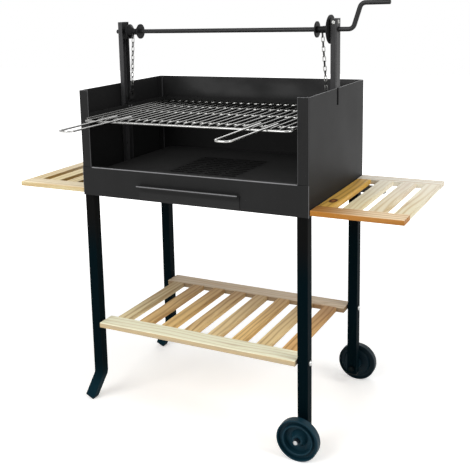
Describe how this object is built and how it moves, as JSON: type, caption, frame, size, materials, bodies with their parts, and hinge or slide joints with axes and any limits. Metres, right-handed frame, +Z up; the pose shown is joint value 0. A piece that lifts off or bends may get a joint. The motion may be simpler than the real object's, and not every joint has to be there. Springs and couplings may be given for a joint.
{
  "type": "barbecue grill",
  "caption": "Charcoal barbecue with a firebox, a wire grill raised by a hand crank and chains, an ash drawer, wooden shelves and two wheels.",
  "frame": {"origin": "on the floor, under the middle of the bounding box", "axes": "+Z up, +Y from the open front to the back wall, +X to the right of a person at the front, where the crank handle and wheels are"},
  "size_m": [1.012, 0.66, 1.0295],
  "materials": {
    "black_paint": "satin heat-proof paint",
    "grate_steel": "matt heat-proof paint",
    "drawer_paint": "satin heat-proof paint",
    "leg_paint": "satin powder coat",
    "cap_plastic": "matt",
    "zinc": "bright zinc plate",
    "spacer_brown": "matt",
    "shelf_slat_wood": "sanded and oiled",
    "shelf_rail_wood": "sanded and oiled",
    "lower_slat_wood": "sanded and oiled",
    "lower_rail_wood": "sanded and oiled",
    "bearing_iron": "as cast, blackened",
    "chain_steel": "bright plated",
    "crank_paint": "satin paint",
    "reel_paint": "satin paint",
    "dark_steel": "blackened",
    "carrier_paint": "satin heat-proof paint",
    "chrome_wire": "bright chrome",
    "wheel_plastic": "fine grain"
  },
  "bodies": {
    "stand": {"side_wall_left": "black_paint", "side_wall_right": "black_paint", "back_wall": "black_paint", "front_panel": "black_paint", "floor_plate": "black_paint", "drawer_runners": "black_paint", "post_left": "black_paint", "post_right": "black_paint", "post_rivets": "black_paint", "block_rivets": "black_paint", "cross_bar_front": "black_paint", "cross_bar_rear": "black_paint", "charcoal_plate": "grate_steel", "leg_front_left": "leg_paint", "leg_front_right": "leg_paint", "leg_rear_left": "leg_paint", "leg_rear_right": "leg_paint", "leg_caps": "cap_plastic", "leg_plugs": "cap_plastic", "bar_caps": "cap_plastic", "floor_bolts": "zinc", "bar_nuts": "zinc", "shelf_screws": "zinc", "rail_bolts": "zinc", "axle_bolts": "zinc", "axle_nuts": "zinc", "axle_washers": "zinc", "block_screws": "zinc", "rail_spacers": "spacer_brown", "shelf_slats_left": "shelf_slat_wood", "shelf_slats_right": "shelf_slat_wood", "shelf_rail_front_left": "shelf_rail_wood", "shelf_rail_front_right": "shelf_rail_wood", "shelf_rail_rear_left": "shelf_rail_wood", "shelf_rail_rear_right": "shelf_rail_wood", "lower_slats": "lower_slat_wood", "lower_rail_front": "lower_rail_wood", "lower_rail_rear": "lower_rail_wood", "bearing_left": "bearing_iron", "bearing_right": "bearing_iron", "chain_left": "chain_steel", "chain_right": "chain_steel"},
    "crank": {"crank_rod": "crank_paint", "reel_left": "reel_paint", "reel_right": "reel_paint", "brake_disc": "reel_paint", "reel_pins": "dark_steel", "shaft_clip": "dark_steel"},
    "carrier": {"carrier_frame": "carrier_paint", "chain_brackets": "carrier_paint", "guide_shoes": "carrier_paint", "carrier_rivets": "dark_steel"},
    "grill": {"grill_frame": "chrome_wire", "cross_wires": "chrome_wire", "grill_bars": "chrome_wire", "grill_handles": "chrome_wire"},
    "ash_drawer": {"drawer_tray": "drawer_paint", "drawer_front": "drawer_paint"},
    "front_wheel": {"wheel_front": "wheel_plastic"},
    "rear_wheel": {"wheel_rear": "wheel_plastic"}
  },
  "joints": [
    {"name": "crank_turn", "type": "hinge", "parent": "stand", "child": "crank", "pos_m": [0, 0.08073, 0.965], "axis": [-1, 0, 0], "range_deg": [0, 650]},
    {"name": "carrier_lift", "type": "slide", "parent": "stand", "child": "carrier", "axis": [0, 0, 1], "range_m": [0, 0.119], "deforming": ["chain_left", "chain_right"]},
    {"name": "grill_slide", "type": "slide", "parent": "carrier", "child": "grill", "axis": [0, -1, 0], "range_m": [0, 0.2]},
    {"name": "drawer_slide", "type": "slide", "parent": "stand", "child": "ash_drawer", "axis": [0, -1, 0], "range_m": [0, 0.26]},
    {"name": "front_wheel_spin", "type": "hinge", "parent": "stand", "child": "front_wheel", "pos_m": [0.2845, -0.13778, 0.05], "axis": [0, 1, 0], "continuous": true},
    {"name": "rear_wheel_spin", "type": "hinge", "parent": "stand", "child": "rear_wheel", "pos_m": [0.2845, 0.29823, 0.05], "axis": [0, 1, 0], "continuous": true}
  ],
  "couplings": [
    {"joint": "crank_turn", "follows": "carrier_lift", "rad_per_m": 95.238}
  ]
}
